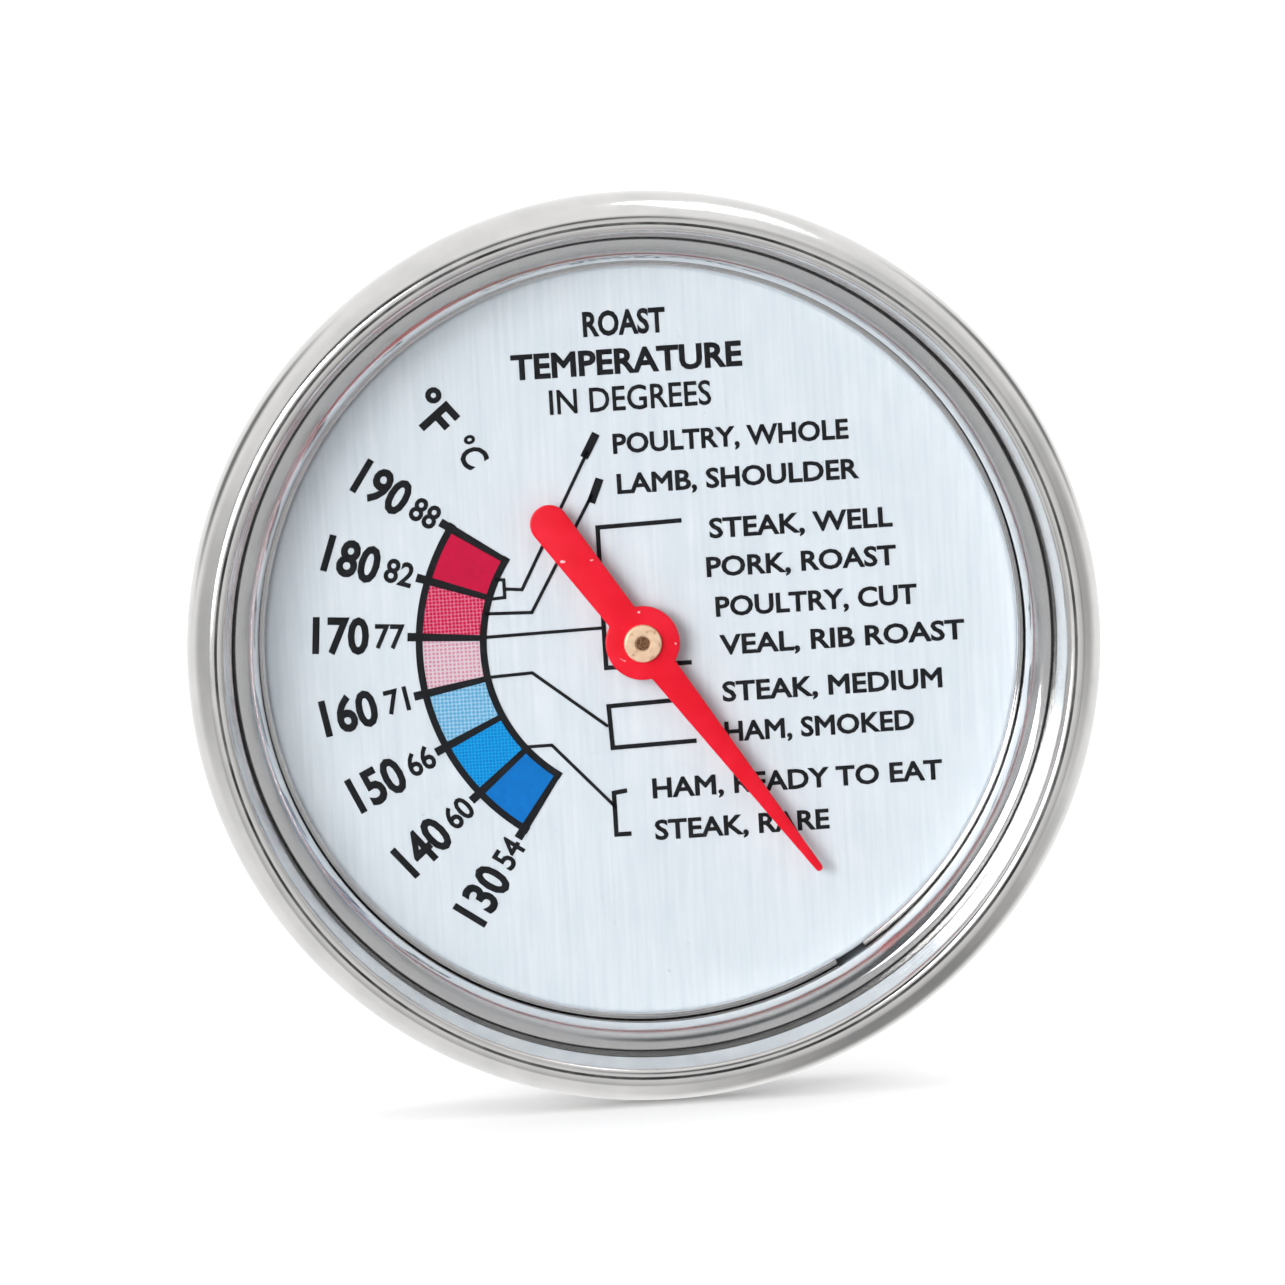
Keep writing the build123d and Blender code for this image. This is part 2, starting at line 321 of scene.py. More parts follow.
# Case cup. One stainless sheet, deep-drawn into a flat back with a shallow boss round the stem, a short
# side wall and a flange, then mirror-polished on the outside.
cup_low, cup_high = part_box("case_cup")
boss_top, flange_radius = cup_high.y, cup_high.x
cup_sheet = 0.5 * mm
flange_back = cup_low.y + cup_sheet
cup_wall_height = 4.4 * mm
back_face = flange_back + cup_wall_height
flange_width = 2.6 * mm
cup_radius = flange_radius - flange_width
boss_radius = 11.6 * mm
hole_clearance = 0.03 * mm
hole_radius = neck_radius + hole_clearance
boss_flat_width = 1.3 * mm
boss_flat = hole_radius + boss_flat_width
flange_bend, back_bend, boss_foot_bend, boss_top_bend = 1.0 * mm, 0.7 * mm, 25 * mm, 10 * mm

polished_steel = new_material("mirror-polished steel", Metallic=1.0)
buffing = noise(polished_steel, here(polished_steel, (0.35, 0.35, 0.35)), 1.0, 4.0)
swirls = noise(polished_steel, here(polished_steel, (9, 9, 1.2)), 1.0, 5.0, 0.7)
feed(
    polished_steel,
    Base_Color=ramp(polished_steel, buffing, (0.3, (0.83, 0.83, 0.84)), (0.7, (0.88, 0.88, 0.87))),
    Roughness=ramp(polished_steel, swirls, (0.35, 0.05), (0.75, 0.11)),
)
bumped(polished_steel, buffing, 0.12, 0.02 * mm)

case_cup = turned("case_cup_polished", bent(
    [
        (flange_radius, flange_back),
        (cup_radius, flange_back),
        (cup_radius, back_face),
        (boss_radius, back_face),
        (boss_flat, boss_top),
        (hole_radius, boss_top),
    ],
    [flange_bend, back_bend, boss_foot_bend, boss_top_bend],
    arc_step=4,
), closed=False, sheet=cup_sheet)
case_cup.data.materials.append(polished_steel)
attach(case_cup, "case")
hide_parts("case_cup")

# Braze. Copper-rich filler run round the foot of the tube with a torch. It freezes in uneven lumps and
# the flame leaves brown, straw and violet stains on it.
braze_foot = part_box("braze_fillet")[1].x
foot_inset = 0.05 * mm
bead_inset, bead_top = 0.15 * mm, 0.35 * mm
neck_cover, neck_cover_top = 0.14 * mm, 0.6 * mm
feathering = 0.02 * mm
braze_bends = [0.08 * mm, 0.12 * mm, 0.2 * mm]
braze_steps = 72
lump_height, lump_size = 0.34 * mm, 1.1 * mm

braze_bronze = new_material("heat-stained braze", Metallic=0.9)
braze_lumps = noise(braze_bronze, here(braze_bronze), 1.5, 4.0, 0.6)
braze_stain = noise(braze_bronze, here(braze_bronze, (1, 1, 1), (4, 7, 2)), 0.9, 3.0)
copper = ramp(
    braze_bronze, braze_lumps,
    (0.3, (0.10, 0.055, 0.035)), (0.46, (0.34, 0.20, 0.12)),
    (0.58, (0.60, 0.48, 0.38)), (0.75, (0.74, 0.70, 0.66)),
)
stain = ramp(braze_bronze, braze_stain, (0.4, (1, 1, 1)), (0.6, (0.62, 0.55, 0.68)))
feed(
    braze_bronze,
    Base_Color=mixed(braze_bronze, 1.0, copper, stain, "MULTIPLY"),
    Roughness=ramp(braze_bronze, braze_lumps, (0.3, 0.55), (0.7, 0.28)),
)
bumped(braze_bronze, noise(braze_bronze, here(braze_bronze), 9.0, 5.0, 0.65), 0.6, 0.05 * mm)

braze = turned("braze_lumps", bent(
    [
        (neck_radius, boss_top),
        (braze_foot - foot_inset, boss_top),
        (braze_foot - bead_inset, boss_top + bead_top),
        (tube_radius + neck_cover, boss_top + neck_cover_top),
        (tube_radius - feathering, feathering),
    ],
    braze_bends,
    arc_step=14, hold=0.03 * mm,
) + [(neck_radius, -shoulder_height)], steps=braze_steps)
lumps = bpy.data.textures.new("braze lumps", "CLOUDS")
lumps.noise_scale = lump_size
lumps.noise_depth = 2
swell = braze.modifiers.new("lumps", "DISPLACE")
swell.texture, swell.texture_coords = lumps, "LOCAL"
swell.strength, swell.mid_level = lump_height, 0.42
bpy.context.view_layer.objects.active = braze
bpy.ops.object.modifier_apply(modifier=swell.name)
braze.data.materials.append(braze_bronze)
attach(braze, "case")
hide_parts("braze_fillet")

# Movement inside the stem: brass guides, the coil of bimetal strip with its collar and anchor, and the
# spindle. They are turned or drawn parts that the closed stem hides, so they keep their plain shapes.
turned_brass = new_material("turned brass", Metallic=1.0)
tool_marks = noise(turned_brass, here(turned_brass, (0.4, 30, 0.4)), 1.0, 3.0)
feed(
    turned_brass,
    Base_Color=ramp(turned_brass, tool_marks, (0.3, (0.58, 0.42, 0.17)), (0.7, (0.76, 0.58, 0.28))),
    Roughness=ramp(turned_brass, tool_marks, (0.3, 0.18), (0.7, 0.38)),
)
bumped(turned_brass, tool_marks, 0.3, 0.006 * mm)

drawn_wire = new_material("bright drawn wire", Metallic=1.0)
die_lines = noise(drawn_wire, here(drawn_wire, (12, 0.3, 12)), 1.0, 3.0)
wire_along = add(drawn_wire, "SeparateXYZ", {"Vector": here(drawn_wire)}).outputs["Y"]
oxide_place = add(drawn_wire, "MapRange", {"Value": wire_along, "From Min": -6.0, "From Max": -4.0})
oxide = ramp(drawn_wire, oxide_place.outputs["Result"], (0.4, (0.80, 0.45, 0.26)), (0.9, (1, 1, 1)))
wire_tone = ramp(drawn_wire, die_lines, (0.3, (0.36, 0.33, 0.30)), (0.7, (0.56, 0.53, 0.50)))
feed(
    drawn_wire,
    Base_Color=mixed(drawn_wire, 1.0, oxide, wire_tone, "MULTIPLY"),
    Roughness=ramp(drawn_wire, die_lines, (0.3, 0.2), (0.7, 0.42)),
)

bimetal = new_material("rolled bimetal strip", Metallic=1.0)
mill_marks = noise(bimetal, here(bimetal, (2, 2, 2)), 1.0, 4.0)
feed(
    bimetal,
    Base_Color=ramp(bimetal, mill_marks, (0.3, (0.42, 0.37, 0.29)), (0.7, (0.63, 0.57, 0.47))),
    Roughness=ramp(bimetal, mill_marks, (0.3, 0.28), (0.7, 0.5)),
)

inner_finishes = {
    "upper_guide_bush": turned_brass,
    "middle_guide_bush": turned_brass,
    "lower_guide_bush": turned_brass,
    "coil_top_collar": turned_brass,
    "coil_anchor": turned_brass,
    "spindle": drawn_wire,
    "bimetal_helix": bimetal,
}
for node_name, finish in inner_finishes.items():
    for place in cad[node_name].material_slots:
        place.material = finish

# Dial plate. Thin aluminium blanked and drawn into a shallow pan, coated pale blue-silver over a fine
# upright grain, and printed. It stands in the cup on its turned-back rim.
dial_low, dial_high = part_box("dial_plate")
dial_front, dial_foot, dial_radius = dial_low.y, dial_high.y, dial_high.x
dial_thickness = 0.4 * mm
dial_rim_bend = 0.5 * mm
dial_hole_radius = 1.5 * mm

dial_silver = new_material("silver dial coating", Metallic=0.12)
grain = noise(dial_silver, here(dial_silver, (3.4, 3.4, 0.11)), 1.0, 5.0, 0.62)
mottle = noise(dial_silver, here(dial_silver, (0.7, 0.7, 0.35)), 1.0, 3.0)
specks = noise(dial_silver, here(dial_silver), 3.2, 1.0)
coat = ramp(dial_silver, grain, (0.3, (0.705, 0.770, 0.835)), (0.7, (0.820, 0.875, 0.925)))
cloudy = ramp(dial_silver, mottle, (0.3, (0.93, 0.955, 0.96)), (0.7, (1.0, 1.0, 1.0)))
dusty = ramp(dial_silver, specks, (0.755, (1, 1, 1)), (0.80, (0.72, 0.74, 0.78)))
clouded_coat = mixed(dial_silver, 1.0, coat, cloudy, "MULTIPLY")
feed(
    dial_silver,
    Base_Color=mixed(dial_silver, 1.0, clouded_coat, dusty, "MULTIPLY"),
    Roughness=ramp(dial_silver, grain, (0.3, 0.42), (0.7, 0.55)),
)
bumped(dial_silver, grain, 0.18, 0.01 * mm)

dial_plate = turned("dial_plate_coated", bent(
    [(dial_hole_radius, dial_front), (dial_radius, dial_front), (dial_radius, dial_foot)],
    [dial_rim_bend],
), closed=False, sheet=dial_thickness)
dial_plate.data.materials.append(dial_silver)
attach(dial_plate, "case")
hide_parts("dial_plate")

# Colour zones. Six blocks of screen-printed ink follow the heat scale from hottest to coolest. Four of
# them are tints, printed as dots of the full ink.
scale_top = 190
scale_step = 10
angle_at_top = 145.7
degrees_per_step = 14.82
zone_inner, zone_outer = 9.4 * mm, 13.2 * mm
ink_film = 0.02 * mm
ink_sunk = 0.01 * mm


def scale_angle(steps):
    """The angle, in radians, of a mark that many steps below the top of the scale."""
    return math.radians(angle_at_top + degrees_per_step * steps)


def thickened(piece, height):
    """Gives a flat shape in the dial's plane the thickness of its ink, towards the reader."""
    bpy.ops.mesh.select_all(action="SELECT")
    bpy.ops.mesh.extrude_region_move(TRANSFORM_OT_translate={"value": (0, -height, 0)})
    bpy.ops.mesh.select_all(action="SELECT")
    bpy.ops.mesh.normals_make_consistent(inside=False)
    bpy.ops.object.mode_set(mode="OBJECT")
    return piece


def sector(name, inner, outer, start, turn, height, steps=14):
    """A block of ink between two radii, swept from the start angle through the turn."""
    y = dial_front + ink_sunk
    rim = [(r * math.cos(start), y, r * math.sin(start)) for r in (inner, outer)]
    piece = traced(name, rim, closed=False)
    bpy.ops.mesh.spin(steps=steps, angle=turn, center=(0, 0, 0), axis=(0, 1, 0))
    return thickened(piece, height + ink_sunk)


def ink(name, colour, tint=None, dots_per_mm=3.4, dot_share=0.5):
    """Printed ink. With a tint, the ink is a screen of dots over that paler colour, and each dot covers
    a share of its cell."""
    material = new_material(name, Roughness=0.5, Specular_IOR_Level=0.12)
    patchy = noise(material, here(material), 2.4, 4.0, 0.6)
    worn = ramp(material, patchy, (0.25, tuple(c * 0.82 for c in colour)), (0.7, colour))
    if tint:
        spots = add(material, "TexVoronoi", {
            "Vector": here(material, (dots_per_mm, 0, dots_per_mm)), "Scale": 1.0, "Randomness": 0.12,
        })
        distance = spots.outputs["Distance"]
        print_screen = ramp(material, distance, (dot_share - 0.07, 0), (dot_share + 0.07, 1))
        worn = mixed(material, print_screen, worn, tint)
    feed(material, Base_Color=worn)
    bumped(material, patchy, 0.2, 0.01 * mm)
    return material


crimson = (0.64, 0.006, 0.058)
strong_blue = (0.001, 0.195, 0.64)
zone_inks = [
    ("crimson", ink("crimson ink", crimson), "ink_crimson"),
    ("rose", ink("rose screen ink", crimson, (0.74, 0.17, 0.29), 4.6, 0.42), "ink_crimson"),
    ("blush", ink("blush screen ink", (0.75, 0.30, 0.41), (0.72, 0.62, 0.67), 4.2, 0.36), "ink_pink"),
    ("sky", ink("sky screen ink", (0.12, 0.43, 0.73), (0.36, 0.62, 0.82), 4.4, 0.42), "ink_sky"),
    ("azure", ink("azure screen ink", (0.001, 0.24, 0.68), (0.004, 0.36, 0.80), 5.0, 0.4), "ink_blue"),
    ("blue", ink("blue ink", strong_blue), "ink_blue"),
]
for step, (zone_name, zone_ink, zone_slot) in enumerate(zone_inks):
    zone = sector(
        "zone_" + zone_name, zone_inner, zone_outer,
        scale_angle(step), math.radians(degrees_per_step), ink_film,
    )
    zone.data.materials.append(zone_ink)
    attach(zone, "case")

# Zone borders. The black key printing: two arcs that edge the zones, and a bar between neighbours that
# runs out past the outer arc as the scale's tick. The bars are printed a shade thicker than the arcs.
border_width = 0.42 * mm
tick_out = 13.9 * mm
arc_steps, bar_steps = 84, 2
key_film = 0.035 * mm
bar_film = key_film * 1.06
black_ink = ink("black ink", (0.012, 0.013, 0.016))


def joined(name, pieces):
    """One mesh made of several."""
    bpy.ops.object.select_all(action="DESELECT")
    for piece in pieces:
        piece.select_set(True)
    bpy.context.view_layer.objects.active = pieces[0]
    bpy.ops.object.join()
    pieces[0].name = pieces[0].data.name = name
    return pieces[0]


scale_turn = math.radians(degrees_per_step * len(zone_inks))
border_turn = border_width / zone_inner
borders = [
    sector(
        "border_arc", edge - border_width / 2, edge + border_width / 2,
        scale_angle(0) - border_turn / 2, scale_turn + border_turn, key_film, arc_steps,
    )
    for edge in (zone_inner, zone_outer)
]
for step in range(len(zone_inks) + 1):
    wide = border_width / (zone_inner + zone_outer) * 2
    borders.append(sector(
        "border_bar", zone_inner - border_width / 2, tick_out,
        scale_angle(step) - wide / 2, wide, bar_film, bar_steps,
    ))
zone_borders = joined("zone_borders", borders)
zone_borders.data.materials.append(black_ink)
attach(zone_borders, "case")

# Leader lines. Thin black lines run from the zones to the brackets and marks beside the lettering that
# names what each heat is for.
leader_width = 0.2 * mm
bracket_width = 0.27 * mm
mark_width = 0.5 * mm
sharpest_corner = 0.35


def stroke(name, points, width, height=key_film):
    """A printed line of even width through points given as (across, up) in millimetres from the pivot.
    At a corner the two sides meet, up to the reach that sharpest_corner allows."""
    points = [Vector(point) * mm for point in points]
    left, right = [], []
    for i, point in enumerate(points):
        ahead = (points[min(i + 1, len(points) - 1)] - points[i]).normalized()
        back = (points[i] - points[max(i - 1, 0)]).normalized()
        ahead, back = ahead if ahead.length else back, back if back.length else ahead
        middle = (ahead + back).normalized()
        reach = width / 2 / max(sharpest_corner, middle.dot(ahead))
        side = Vector((-middle.y, middle.x)) * reach
        left.append(point + side)
        right.insert(0, point - side)
    y = dial_front + ink_sunk
    piece = traced(name, [(point.x, y, point.y) for point in [*left, *right]])
    bpy.ops.mesh.edge_face_add()
    return thickened(piece, height + ink_sunk)


lines = [
    stroke("line", [(-7.9, 3.6), (-6.9, 3.5), (-2.5, 11.5)], leader_width),
    stroke("line", [(-9.2, 2.2), (-6.4, 2.1), (-2.4, 8.9)], leader_width),
    stroke("line", [(-9.2, 0.8), (-2.2, 0.9)], leader_width),
    stroke("line", [(-9.2, -1.6), (-6.6, -1.5), (-2.3, -5.0)], leader_width),
    stroke("line", [(-7.2, -5.9), (-5.7, -5.9), (-2.1, -9.9)], leader_width),
    stroke("mark", [(-2.75, 11.1), (-1.95, 12.5)], mark_width),
    stroke("mark", [(-2.5, 8.4), (-1.9, 9.8)], mark_width),
    stroke("bracket", [(2.8, 7.0), (-2.2, 6.9), (-2.2, -1.5), (2.9, -1.5)], bracket_width),
    stroke("bracket", [(1.6, -3.7), (-2.2, -3.8), (-2.1, -6.3), (2.9, -6.2)], bracket_width),
    stroke("bracket", [(-1.4, -8.9), (-2.2, -9.0), (-2.2, -11.5), (-1.3, -11.5)], bracket_width),
    stroke("box", [(-8.45, 4.2), (-7.95, 4.15), (-7.95, 3.1), (-8.9, 3.05)], leader_width),
]
leader_lines = joined("leader_lines", lines)
leader_lines.data.materials.append(black_ink)
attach(leader_lines, "case")

# Scale numbers and lettering. All of it is screen-printed in the borders' black ink, in one plain sans
# face. The numbers stand on the scale's radii, in degrees Fahrenheit outside and Celsius inside.
text_film = 0.03 * mm
text_depth = 0.02
narrowing = 0.88
fahrenheit_radius, fahrenheit_height, fahrenheit_width = 17.85, 2.3, 3.35
celsius_radius, celsius_height = 14.95, 1.5
unit_angle = 128.6
cap_height = 1.45


def lettered(words, centre, height, width=None, turn=0.0, weight=0.024, slant=0.0):
    """A printed word, in millimetres, centred at (across, up). Without a width it keeps the face's own
    proportion, narrowed."""
    bpy.ops.object.select_all(action="DESELECT")
    bpy.ops.object.text_add()
    text = bpy.context.object
    text.data.body, text.data.shear = words, slant
    text.data.extrude, text.data.bevel_depth = text_depth, weight
    text.data.resolution_u, text.data.bevel_resolution = 3, 0
    bpy.ops.object.convert(target="MESH")
    bpy.ops.object.origin_set(type="ORIGIN_GEOMETRY", center="BOUNDS")
    if width is None:
        width = height * text.dimensions.x / text.dimensions.y * narrowing
    thickness = text_film + ink_sunk
    text.dimensions = (width * mm, height * mm, thickness)
    text.location = (centre[0] * mm, dial_front + ink_sunk - thickness / 2, centre[1] * mm)
    text.rotation_euler = (math.pi / 2, -math.radians(turn), 0)
    bpy.ops.object.transform_apply(location=True, rotation=True, scale=True)
    bpy.ops.object.mode_set(mode="EDIT")
    bpy.ops.mesh.select_all(action="SELECT")
    bpy.ops.mesh.remove_doubles(threshold=join_gap)
    bpy.ops.mesh.normals_make_consistent(inside=False)
    bpy.ops.object.mode_set(mode="OBJECT")
    return text


def beside_scale(words, steps, radius, height, **style):
    """A word centred at a radius in millimetres on one of the scale's marks, read from the right."""
    angle = scale_angle(steps)
    centre = (radius * math.cos(angle), radius * math.sin(angle))
    return lettered(words, centre, height, turn=math.degrees(angle) - 180, **style)


fahrenheit, celsius = [], []
for step in range(len(zone_inks) + 1):
    degrees = scale_top - scale_step * step
    fahrenheit.append(beside_scale(
        str(degrees), step, fahrenheit_radius, fahrenheit_height, width=fahrenheit_width, weight=0.032,
    ))
    celsius.append(beside_scale(str(round((degrees - 32) * 5 / 9)), step, celsius_radius, celsius_height))
unit_steps = (unit_angle - angle_at_top) / degrees_per_step
units = [
    beside_scale("°F", unit_steps, 18.4, 2.35, width=2.5, weight=0.03),
    beside_scale("°C", unit_steps, 15.1, 1.65, width=1.9, slant=0.2),
]
number_pieces = {"numbers_fahrenheit": fahrenheit, "numbers_celsius": celsius, "unit_marks": units}
for piece_name, words in number_pieces.items():
    numbers = joined(piece_name, words)
    numbers.data.materials.append(black_ink)
    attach(numbers, "case")

title = [
    lettered("ROAST", (0.1, 19.0), 1.55, width=4.9, weight=0.032),
    lettered("TEMPERATURE", (0.1, 16.7), 1.55, width=13.7, weight=0.034),
    lettered("IN DEGREES", (0.2, 14.5), 1.5, width=9.6, weight=0.014),
]
roasts = [
    ("POULTRY, WHOLE", -1.0, 11.7, 14.0),
    ("LAMB, SHOULDER", -0.9, 9.3, 14.4),
    ("STEAK, WELL", 4.4, 6.3, 10.9),
    ("PORK, ROAST", 4.1, 4.0, 11.3),
    ("POULTRY, CUT", 4.5, 1.6, 12.0),
    ("VEAL, RIB ROAST", 4.6, -0.7, 14.6),
    ("STEAK, MEDIUM", 4.6, -3.5, 13.1),
    ("HAM, SMOKED", 4.6, -5.9, 11.3),
    ("HAM, READY TO EAT", 0.1, -9.0, 17.3),
    ("STEAK, RARE", 0.1, -11.5, 10.4),
]
roast_words = [
    lettered(words, (left_edge + width / 2, up), cap_height, width=width, weight=0.028)
    for words, left_edge, up, width in roasts
]
for piece_name, words in (("title_lettering", title), ("roast_lettering", roast_words)):
    lettering = joined(piece_name, words)
    lettering.data.materials.append(black_ink)
    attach(lettering, "case")

# Retaining ring. A sprung ring of bright wire, cut with a small opening, snapped in between the dial's
# rounded rim and the cup's wall to hold the dial down.
ring_low, ring_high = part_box("dial_retaining_ring")
wire_radius = (ring_high.y - ring_low.y) / 2
ring_radius = ring_high.x - wire_radius
ring_place = (ring_high.y + ring_low.y) / 2
ring_opening = math.radians(5)
ring_opening_at = math.radians(300)
wire_sides = 12

ring_points = []
ring_start = ring_opening_at + ring_opening / 2
for side in range(wire_sides):
    around = math.tau * side / wire_sides
    radius = ring_radius + wire_radius * math.cos(around)
    ring_points.append((
        radius * math.cos(ring_start),
        ring_place + wire_radius * math.sin(around),
        radius * math.sin(ring_start),
    ))
retaining_ring = traced("retaining_ring_wire", ring_points)
bpy.ops.mesh.edge_face_add()
bpy.ops.mesh.spin(steps=turn_steps, angle=math.tau - ring_opening, center=(0, 0, 0), axis=(0, 1, 0))
bpy.ops.mesh.select_all(action="SELECT")
bpy.ops.mesh.normals_make_consistent(inside=False)
bpy.ops.object.mode_set(mode="OBJECT")
bpy.ops.object.shade_smooth_by_angle(angle=math.radians(50))
retaining_ring.data.materials.append(polished_steel)
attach(retaining_ring, "case")
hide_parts("dial_retaining_ring")

# Pointer. Stamped from thin aluminium in one blank: a long tapering arm, a round hub and a blunt tail
# that balances it. It is dipped in glossy red enamel, which rounds its edges. Pale flecks on the enamel
# are painted highlights.
pointer_low, pointer_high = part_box("pointer")
pointer_back, pointer_face = pointer_high.y, pointer_low.y
pointer_angle = math.radians(-55.6)
hub_radius = 2.2 * mm
arm_length, arm_root, arm_tip = 17.3 * mm, 1.75 * mm, 0.45 * mm
tail_length, tail_width, tail_neck = 10.15 * mm, 2.3 * mm, 1.9 * mm
hub_steps, tail_steps, tip_steps = 30, 18, 6
enamel_round = 0.09 * mm

enamel = new_material("red enamel", Roughness=0.32, Specular_IOR_Level=0.2, Coat_Weight=0.12)
flow = noise(enamel, here(enamel), 0.5, 3.0)
# Painted highlights: a noise picks out pale flecks that are mixed into the red enamel as glints.
highlight_fleck_noise = noise(enamel, here(enamel, (1, 1, 1), (3, 1, 5)), 2.1, 1.0)
red = ramp(enamel, flow, (0.3, (0.80, 0.002, 0.016)), (0.7, (0.90, 0.010, 0.034)))
painted_highlight_flecks = ramp(enamel, highlight_fleck_noise, (0.755, 0), (0.78, 1))
feed(enamel, Base_Color=mixed(enamel, painted_highlight_flecks, red, (0.95, 0.62, 0.64)))
bumped(enamel, flow, 0.2, 0.03 * mm)


def turned_by(points, angle):
    """Flat points turned about the pivot."""
    return [
        (x * math.cos(angle) - up * math.sin(angle), x * math.sin(angle) + up * math.cos(angle))
        for x, up in points
    ]


def arc(centre, radius, start, end, steps):
    """Points on an arc, angles in radians."""
    return [
        (
            centre[0] + radius * math.cos(start + (end - start) * i / steps),
            centre[1] + radius * math.sin(start + (end - start) * i / steps),
        )
        for i in range(steps + 1)
    ]


arm_meets = math.asin(arm_root / 2 / hub_radius)
tail_meets = math.asin(tail_neck / 2 / hub_radius)
tail_round = tail_length - tail_width / 2
pointer_outline = [
    *arc((0, 0), hub_radius, arm_meets, math.pi - tail_meets, hub_steps),
    *arc((-tail_round, 0), tail_width / 2, math.pi / 2, 3 * math.pi / 2, tail_steps),
    *arc((0, 0), hub_radius, math.pi + tail_meets, math.tau - arm_meets, hub_steps),
    *arc((arm_length - arm_tip / 2, 0), arm_tip / 2, -math.pi / 2, math.pi / 2, tip_steps),
]
pointer_shape = turned_by(pointer_outline, pointer_angle)
pointer = traced("pointer_enamelled", [(x, pointer_back, up) for x, up in pointer_shape])
bpy.ops.mesh.edge_face_add()
thickened(pointer, pointer_back - pointer_face)
rounding = pointer.modifiers.new("enamel edge", "BEVEL")
rounding.width, rounding.segments = enamel_round, 4
rounding.limit_method, rounding.angle_limit = "ANGLE", math.radians(50)
bpy.context.view_layer.objects.active = pointer
bpy.ops.object.modifier_apply(modifier=rounding.name)
bpy.ops.object.shade_smooth_by_angle(angle=math.radians(40))
pointer.data.materials.append(enamel)
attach(pointer, "pointer")
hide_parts("pointer")

# Pointer bush. A small brass rivet bush, spun over in the pointer's hub and pressed on to the spindle,
# whose dark end shows in the middle. Its face is pale and burnished.
bush_low, bush_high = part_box("pointer_bush")
bush_face, bush_foot, bush_radius = bush_low.y, bush_high.y, bush_high.x
bush_shank = 0.8 * mm
spindle_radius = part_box("spindle")[1].x
bore_edge_width, bore_edge_depth = 0.1 * mm, 0.12 * mm
bore_bend, face_bend, groove_bend, foot_bend = 0.04 * mm, 0.12 * mm, 0.02 * mm, 0.06 * mm

pale_brass = new_material("burnished pale brass", Metallic=0.3)
burnish = noise(pale_brass, here(pale_brass, (3, 3, 3)), 1.0, 4.0)
feed(
    pale_brass,
    Base_Color=ramp(pale_brass, burnish, (0.3, (0.84, 0.55, 0.35)), (0.7, (0.97, 0.74, 0.52))),
    Roughness=ramp(pale_brass, burnish, (0.3, 0.24), (0.7, 0.42)),
)
bumped(pale_brass, burnish, 0.3, 0.02 * mm)

pointer_bush = turned("pointer_bush_burnished", bent(
    [
        (spindle_radius, bush_face + bore_edge_depth),
        (spindle_radius + bore_edge_width, bush_face),
        (bush_radius, bush_face),
        (bush_radius, pointer_face),
        (bush_shank, pointer_face),
        (bush_shank, pointer_back),
        (bush_radius, pointer_back),
        (bush_radius, bush_foot),
        (spindle_radius, bush_foot),
    ],
    [bore_bend, face_bend, *[groove_bend] * 4, foot_bend],
    arc_step=18, hold=0.01 * mm,
), steps=64)
pointer_bush.data.materials.append(pale_brass)
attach(pointer_bush, "pointer")
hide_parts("pointer_bush")

# Gasket. A flat ring punched from black rubber sheet, squeezed between the cup's flange and the window.
rubber = new_material("black rubber", Specular_IOR_Level=0.3)
bloom = noise(rubber, here(rubber), 1.6, 4.0)
feed(
    rubber,
    Base_Color=ramp(rubber, bloom, (0.3, (0.010, 0.010, 0.011)), (0.7, (0.028, 0.028, 0.030))),
    Roughness=ramp(rubber, bloom, (0.3, 0.6), (0.7, 0.85)),
)
bumped(rubber, bloom, 0.3, 0.02 * mm)
for place in cad["lens_gasket"].material_slots:
    place.material = rubber

# Window. A disc of clear float glass with a ground and polished edge.
lens_low, lens_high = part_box("lens")
lens_radius = lens_high.x
lens_chamfer = 0.2 * mm

window_glass = new_material("window glass", Transmission_Weight=1.0, Roughness=0.0, IOR=1.5)
window = turned("window_glass", [
    (0, lens_low.y),
    (lens_radius - lens_chamfer, lens_low.y),
    (lens_radius, lens_low.y + lens_chamfer),
    (lens_radius, lens_high.y - lens_chamfer),
    (lens_radius - lens_chamfer, lens_high.y),
    (0, lens_high.y),
], closed=False)
window.visible_shadow = False
window.data.materials.append(window_glass)
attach(window, "case")
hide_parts("lens")

# Bezel. One strip of stainless sheet, rolled to a full round bead and polished. Its lip holds the window
# down, and its rear edge is crimped in over the cup's flange.
bezel_low, bezel_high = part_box("bezel_ring")
bezel_front, bezel_radius = bezel_low.y, bezel_high.x
bezel_sheet = 0.45 * mm
lip_cover = 1.45 * mm
lip_radius = flange_radius - lip_cover
lip_drop, lip_run = 1.9 * mm, 0.5 * mm
front_width = 0.8 * mm
bead_height, bead_width = 0.9 * mm, 0.3 * mm
side_lead = 2.0 * mm
tuck_height, tuck_width = 0.75 * mm, 0.5 * mm
crimp_depth, crease_depth = 0.8 * mm, 0.55 * mm
free_edge = flange_back + crimp_depth
crease = free_edge - crease_depth
wall_gap = 2.1 * mm
rear_opening = cup_radius + wall_gap
bezel_bends = [bend * mm for bend in (0.55, 0.7, 2.2, 3.4, 1.4, 0.6)]

rolled_steel = new_material("polished rolled bezel steel", Metallic=1.0)
roller_lines = noise(rolled_steel, here(rolled_steel, (0.5, 6, 0.5)), 1.0, 4.0)
handling = noise(rolled_steel, here(rolled_steel, (0.45, 0.45, 0.45)), 1.0, 4.0)
feed(
    rolled_steel,
    Base_Color=ramp(rolled_steel, handling, (0.3, (0.68, 0.675, 0.67)), (0.7, (0.76, 0.75, 0.735))),
    Roughness=ramp(rolled_steel, roller_lines, (0.3, 0.10), (0.75, 0.20)),
)
bumped(rolled_steel, handling, 0.15, 0.03 * mm)

